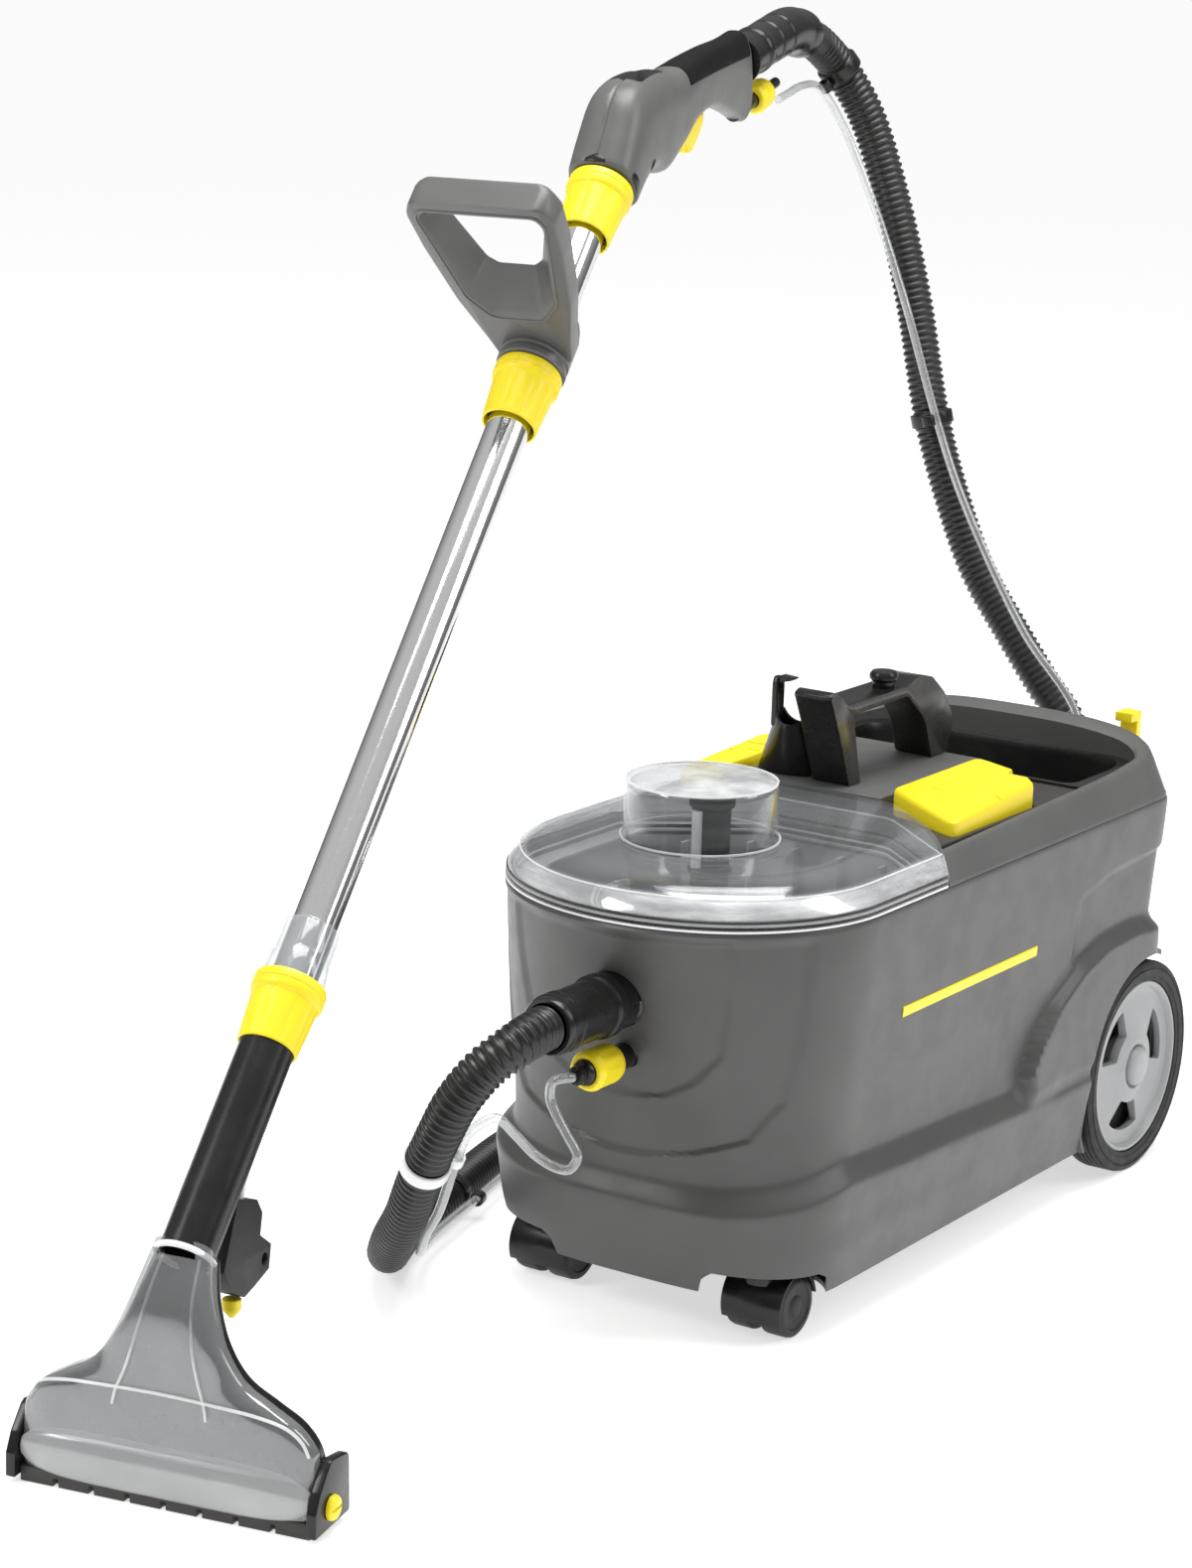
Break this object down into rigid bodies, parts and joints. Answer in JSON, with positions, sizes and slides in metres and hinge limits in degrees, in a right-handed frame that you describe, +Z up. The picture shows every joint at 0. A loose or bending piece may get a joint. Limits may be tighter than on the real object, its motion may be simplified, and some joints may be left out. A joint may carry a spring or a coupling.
{
  "type": "spot extractor",
  "caption": "Wheeled spray extraction cleaner with a clear domed lid, foot switches, a suction hose and a floor wand with a D-handle.",
  "frame": {"origin": "on the floor, under the middle of the bounding box of everything but the suction hose and the spray line", "axes": "+X to the side of the spray switch, +Y from the nozzle and the round front towards the wheeled rear, +Z up"},
  "size_m": [0.4654, 1.3623, 0.98],
  "materials": {
    "grey_plastic": "fine grain, satin",
    "dark_plastic": "fine grain, satin",
    "black_plastic": "satin",
    "yellow_plastic": "satin",
    "light_plastic": "satin",
    "clear_plastic": "clear, glossy",
    "chrome": "polished",
    "steel": "turned",
    "rubber": "matt"
  },
  "bodies": {
    "machine": {"base_housing": "grey_plastic", "top_deck": "grey_plastic", "spray_switch_surround": "dark_plastic", "suction_switch_surround": "dark_plastic", "storage_bin": "black_plastic", "carry_handle": "black_plastic", "accessory_holder": "black_plastic", "fresh_water_tank": "light_plastic", "suction_motor": "black_plastic", "water_pump": "black_plastic", "rear_axle": "steel", "hose_inlet_cuff": "black_plastic", "spray_outlet": "black_plastic", "cable_gland": "black_plastic", "suction_hose": "black_plastic", "spray_hose": "clear_plastic"},
    "tank": {"dirty_water_tank": "light_plastic", "lid_seal": "rubber", "suction_standpipe": "black_plastic", "inlet_deflector": "black_plastic"},
    "lid": {"lid": "clear_plastic"},
    "float": {"float_ring": "dark_plastic"},
    "spray_switch": {"spray_switch": "yellow_plastic"},
    "suction_switch": {"suction_switch": "yellow_plastic"},
    "turbine": {"turbine_fan": "steel"},
    "near_wheel": {"rear_tyre_near": "rubber", "wheel_disc_near": "light_plastic", "axle_cap_near": "light_plastic"},
    "far_wheel": {"rear_tyre_far": "rubber", "wheel_disc_far": "light_plastic", "axle_cap_far": "light_plastic"},
    "near_caster": {"caster_fork_near": "black_plastic"},
    "near_caster_wheels": {"caster_wheels_near": "rubber"},
    "far_caster": {"caster_fork_far": "black_plastic"},
    "far_caster_wheels": {"caster_wheels_far": "rubber"},
    "outlet_sleeve": {"outlet_sleeve": "yellow_plastic"},
    "cable_hook": {"cable_hook": "yellow_plastic"},
    "wand": {"lower_tube": "chrome", "upper_tube": "chrome", "spray_pipe": "steel", "clear_sleeve": "clear_plastic", "lower_collet": "black_plastic", "upper_collet": "black_plastic", "d_handle": "grey_plastic", "handle_housing": "grey_plastic", "grip_cover": "black_plastic", "spray_inlet": "black_plastic", "hose_bend": "black_plastic", "nozzle_head": "black_plastic", "nozzle_window": "clear_plastic", "nozzle_sole": "dark_plastic", "spray_jet_bracket": "black_plastic", "spray_jet": "yellow_plastic"},
    "near_knob": {"nozzle_knob_near": "yellow_plastic"},
    "far_knob": {"nozzle_knob_far": "yellow_plastic"},
    "bottom_nut": {"bottom_nut": "yellow_plastic"},
    "middle_nut": {"middle_nut": "yellow_plastic"},
    "top_nut": {"top_nut": "yellow_plastic"},
    "inlet_sleeve": {"inlet_sleeve": "yellow_plastic"},
    "trigger": {"trigger": "yellow_plastic"}
  },
  "joints": [
    {"name": "tank_lift", "type": "slide", "parent": "machine", "child": "tank", "axis": [0, -0.2149, 0.9766], "range_m": [0, 0.2]},
    {"name": "lid_lift", "type": "slide", "parent": "tank", "child": "lid", "axis": [0, -0.2149, 0.9766], "range_m": [0, 0.12]},
    {"name": "float_rise", "type": "slide", "parent": "tank", "child": "float", "axis": [0, 0, 1], "range_m": [0, 0.03]},
    {"name": "spray_switch_press", "type": "slide", "parent": "machine", "child": "spray_switch", "axis": [0, 0, -1], "range_m": [0, 0.005], "stiffness_N_per_m": 900, "springref_m": -0.004},
    {"name": "suction_switch_press", "type": "slide", "parent": "machine", "child": "suction_switch", "axis": [0, 0, -1], "range_m": [0, 0.005], "stiffness_N_per_m": 900, "springref_m": -0.004},
    {"name": "turbine_spin", "type": "hinge", "parent": "machine", "child": "turbine", "pos_m": [0.07432, 0.29974, 0.146], "axis": [0, 0, 1], "continuous": true},
    {"name": "near_wheel_roll", "type": "hinge", "parent": "machine", "child": "near_wheel", "pos_m": [0.21432, 0.50274, 0.094], "axis": [1, 0, 0], "continuous": true},
    {"name": "far_wheel_roll", "type": "hinge", "parent": "machine", "child": "far_wheel", "pos_m": [-0.06568, 0.50274, 0.094], "axis": [1, 0, 0], "continuous": true},
    {"name": "near_caster_swivel", "type": "hinge", "parent": "machine", "child": "near_caster", "pos_m": [0.17432, -0.03426, 0.06], "axis": [0, 0, 1], "continuous": true},
    {"name": "near_caster_roll", "type": "hinge", "parent": "near_caster", "child": "near_caster_wheels", "pos_m": [0.17432, -0.02226, 0.025], "axis": [1, 0, 0], "continuous": true},
    {"name": "far_caster_swivel", "type": "hinge", "parent": "machine", "child": "far_caster", "pos_m": [-0.02568, -0.03426, 0.06], "axis": [0, 0, 1], "continuous": true},
    {"name": "far_caster_roll", "type": "hinge", "parent": "far_caster", "child": "far_caster_wheels", "pos_m": [-0.02568, -0.02226, 0.025], "axis": [1, 0, 0], "continuous": true},
    {"name": "outlet_sleeve_pull", "type": "slide", "parent": "machine", "child": "outlet_sleeve", "axis": [0, 1, 0], "range_m": [0, 0.004], "stiffness_N_per_m": 400, "springref_m": -0.002},
    {"name": "cable_hook_turn", "type": "hinge", "parent": "machine", "child": "cable_hook", "pos_m": [0.16632, 0.55574, 0.358], "axis": [0, 1, 0], "range_deg": [0, 180]},
    {"name": "wand_lift", "type": "slide", "parent": "machine", "child": "wand", "axis": [0, 0, 1], "range_m": [0, 0.15]},
    {"name": "bottom_nut_turn", "type": "hinge", "parent": "wand", "child": "bottom_nut", "pos_m": [-0.0117, -0.40147, 0.308], "axis": [-0.141, 0.6992, 0.7009], "range_deg": [0, 120]},
    {"name": "middle_nut_turn", "type": "hinge", "parent": "wand", "child": "middle_nut", "pos_m": [-0.09009, -0.01273, 0.69771], "axis": [-0.141, 0.6992, 0.7009], "range_deg": [0, 120]},
    {"name": "near_knob_turn", "type": "hinge", "parent": "wand", "child": "near_knob", "pos_m": [0.13578, -0.52578, 0.02], "axis": [0.9803, 0.1977, 0], "range_deg": [0, 90]},
    {"name": "far_knob_turn", "type": "hinge", "parent": "wand", "child": "far_knob", "pos_m": [-0.09949, -0.57321, 0.02], "axis": [0.9803, 0.1977, 0], "range_deg": [0, 90]},
    {"name": "top_nut_turn", "type": "hinge", "parent": "wand", "child": "top_nut", "pos_m": [-0.11701, 0.12081, 0.83158], "axis": [-0.141, 0.6992, 0.7009], "range_deg": [0, 120]},
    {"name": "inlet_sleeve_pull", "type": "slide", "parent": "wand", "child": "inlet_sleeve", "axis": [0.1933, -0.9588, -0.2079], "range_m": [0, 0.004], "stiffness_N_per_m": 400, "springref_m": -0.002},
    {"name": "trigger_squeeze", "type": "hinge", "parent": "wand", "child": "trigger", "pos_m": [-0.15184, 0.29354, 0.886], "axis": [0.9803, 0.1977, 0], "range_deg": [0, 7], "stiffness_Nm_per_rad": 0.6, "springref_deg": -5.73}
  ]
}
